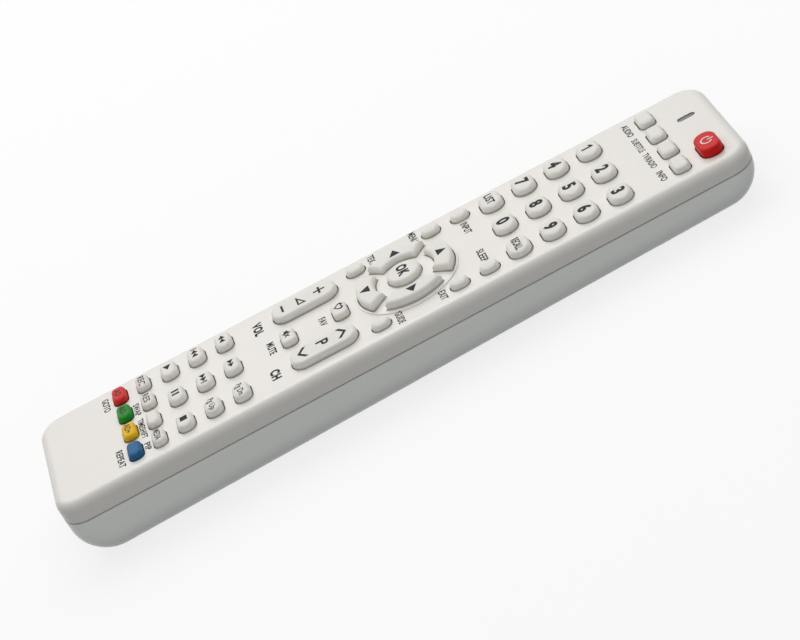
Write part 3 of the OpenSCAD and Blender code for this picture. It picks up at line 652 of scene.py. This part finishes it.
# words on the case: word, middle in the face's millimetres, width, height, weight
caseWords = [
    ("AUDIO", -15.3, 80.9, 7.3, 1.8, 0.022), ("SUBTITLE", -5.2, 80.8, 8.3, 1.8, 0.014),
    ("TV/RADIO", 5.0, 80.8, 8.9, 1.8, 0.014), ("INFO", 15.3, 80.9, 5.6, 1.8, 0.022),
    ("INPUT", -9.4, 28.4, 6.4, 2.0, 0.022), ("SLEEP", 8.1, 28.4, 6.8, 2.0, 0.022),
    ("MENU", -18.8, 14.1, 5.8, 2.0, 0.022), ("EXIT", 17.2, 13.9, 4.8, 2.0, 0.022),
    ("TEXT", -18.3, 0.9, 5.2, 2.0, 0.022), ("GUIDE", 17.2, 0.9, 6.0, 2.0, 0.022),
    ("VOL", -13.45, -36.1, 6.7, 2.5, 0.05), ("CH", 13.2, -36.1, 5.1, 2.5, 0.05),
    ("FAV", -0.3, -18.6, 4.3, 2.0, 0.022), ("MUTE", -0.4, -34.5, 6.4, 2.1, 0.026),
    ("SWAP", -5.1, -75.55, 6.3, 1.7, 0.022), ("TIMESHIFT", 5.5, -75.55, 10.2, 1.7, 0.022),
    ("PIP", 15.2, -75.5, 3.8, 1.7, 0.022),
    ("GOTO", -15.1, -83.7, 6.8, 1.9, 0.022), ("REPEAT", 14.7, -83.7, 8.7, 1.9, 0.022),
]
caseParts = [(wordMesh(word, height, width, weight), x, y)
             for word, x, y, width, height, weight in caseWords]
printLegend("case_legends", caseParts, "top_case", "case", legendInk)
legends = [o for o in bpy.data.objects if o.name.endswith(("legend", "legends", "mark"))]
print("legends:", len(legends))

# smoked window that fills the indicator slot, a little below the face and slightly domed;
# each ring is a share of the outline and a height
windowLook = dict(x=-7.1, y=96.3, width=2.1, length=5.3, steps=10,
                  rings=[(1.0, -1.2), (1.0, -0.3), (0.9, -0.25), (0.55, -0.152)])


def indicatorWindow(look):
    r = look["width"] / 2
    straight = look["length"] / 2 - r
    rim = []
    for side in (1, -1):
        for i in range(look["steps"] + 1):
            a = math.pi * i / look["steps"]
            rim.append((r * math.cos(a) * side, straight * side + r * math.sin(a) * side))
    built = bmesh.new()
    rings = []
    for share, z in look["rings"]:
        points = [Vector((look["x"] + x * share, look["y"] + y * share, z)) for x, y in rim]
        rings.append([built.verts.new(faceMatrix @ p) for p in points])
    count = len(rim)
    for lower, upper in zip(rings, rings[1:]):
        for i in range(count):
            following = (i + 1) % count
            built.faces.new((lower[i], lower[following], upper[following], upper[i]))
    built.faces.new(list(reversed(rings[0])))
    built.faces.new(rings[-1])
    piece = builtObject("indicator_window", built, windowResin)
    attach(piece, "case")
    return piece


indicatorWindow(windowLook)
print("indicator window made")

# camera at the photo's view
cameraLook = dict(place=(0.618956, 0.018451, 0.373331), turn=(55.7546, 25.5045, 75.3562),
                  lens=117.0, sensor=36.0, nearest=0.01)
cameraData = bpy.data.cameras.new("camera")
cameraData.lens = cameraLook["lens"]
cameraData.sensor_width = cameraLook["sensor"]
cameraData.clip_start = cameraLook["nearest"]
camera = newObject("camera", cameraData)
camera.location = cameraLook["place"]
camera.rotation_euler = [math.radians(a) for a in cameraLook["turn"]]
bpy.context.scene.camera = camera

# two soft boxes behind the object and a weak one low in front, which no gloss shows
boxLook = dict(aim=(0, 0, 0), size=0.8, power=3.42, colour=(1.0, 0.99, 0.975), mirrored=True)
lampLooks = {
    "leftBox": dict(boxLook, place=(-0.45, -0.25, 0.74)),
    "rightBox": dict(boxLook, place=(-0.45, 0.25, 0.74)),
    "frontBox": dict(place=(0.9, 0.0, 0.2), aim=(0, 0, 0.01), size=0.35, power=1.3,
                     colour=(0.96, 1.0, 0.98), mirrored=False),
}
for name, look in lampLooks.items():
    lamp = bpy.data.lights.new(name, "AREA")
    lamp.shape = "SQUARE"
    lamp.size = look["size"]
    lamp.energy = look["power"]
    lamp.color = look["colour"]
    holder = newObject(name, lamp)
    holder.visible_glossy = look["mirrored"]
    holder.location = look["place"]
    direction = Vector(look["aim"]) - Vector(look["place"])
    holder.rotation_euler = direction.to_track_quat("-Z", "Y").to_euler()


# 1 for rays that show the pale surroundings: seen, mirrored or seen through
def seenShare(finish):
    rays = finish.node("ShaderNodeLightPath")
    direct, mirrored, through = (Value(finish, rays.outputs[name]) for name in (
        "Is Camera Ray", "Is Glossy Ray", "Is Transmission Ray"))
    return finish.value("ShaderNodeClamp", None, {"Value": direct + mirrored + through})


# pale room: its strength as light and as it is seen
roomLook = dict(colour=(1.0, 1.0, 1.0), light=0.31, seen=1.0)
room = Finish(bpy.data.worlds.new("room"))
bpy.context.scene.world = room.owner
strength = roomLook["light"] + seenShare(room) * (roomLook["seen"] - roomLook["light"])
air = room.value("ShaderNodeBackground", None, {
    "Color": rgba(roomLook["colour"]), "Strength": strength})
room.node("ShaderNodeOutputWorld", None, {"Surface": air})

# white floor that keeps the shadow, and throws less light back than it shows
floorLook = dict(reach=4.0, drop=0.0001, colour=(0.9, 0.9, 0.9), thrown=(0.18, 0.185, 0.185),
                 glow=0.8, glowColour=(1.0, 1.0, 1.0))
floorFinish = newFinish("floorPaper")
lit = floorFinish.value("ShaderNodeBsdfDiffuse", None, {"Color": rgba(floorLook["colour"])})
dim = floorFinish.value("ShaderNodeBsdfDiffuse", None, {"Color": rgba(floorLook["thrown"])})
glow = floorFinish.value("ShaderNodeEmission", None, {
    "Color": rgba(floorLook["glowColour"]), "Strength": 1.0})
bright = floorFinish.value("ShaderNodeMixShader", None, {0: floorLook["glow"], 1: lit, 2: glow})
paper = floorFinish.value("ShaderNodeMixShader", None, {
    0: seenShare(floorFinish), 1: dim, 2: bright})
floorFinish.node("ShaderNodeOutputMaterial", None, {"Surface": paper})
reach = floorLook["reach"]
corners = [(-reach, -reach, 0), (reach, -reach, 0), (reach, reach, 0), (-reach, reach, 0)]
floorMesh = bpy.data.meshes.new("floor")
floorMesh.from_pydata(corners, [], [(0, 1, 2, 3)])
floorMesh.materials.append(floorFinish.owner)
floor = newObject("floor", floorMesh)
floor.location.z = -floorLook["drop"]
bpy.context.scene.view_settings.view_transform = "Standard"
print("camera, lamps and floor set")
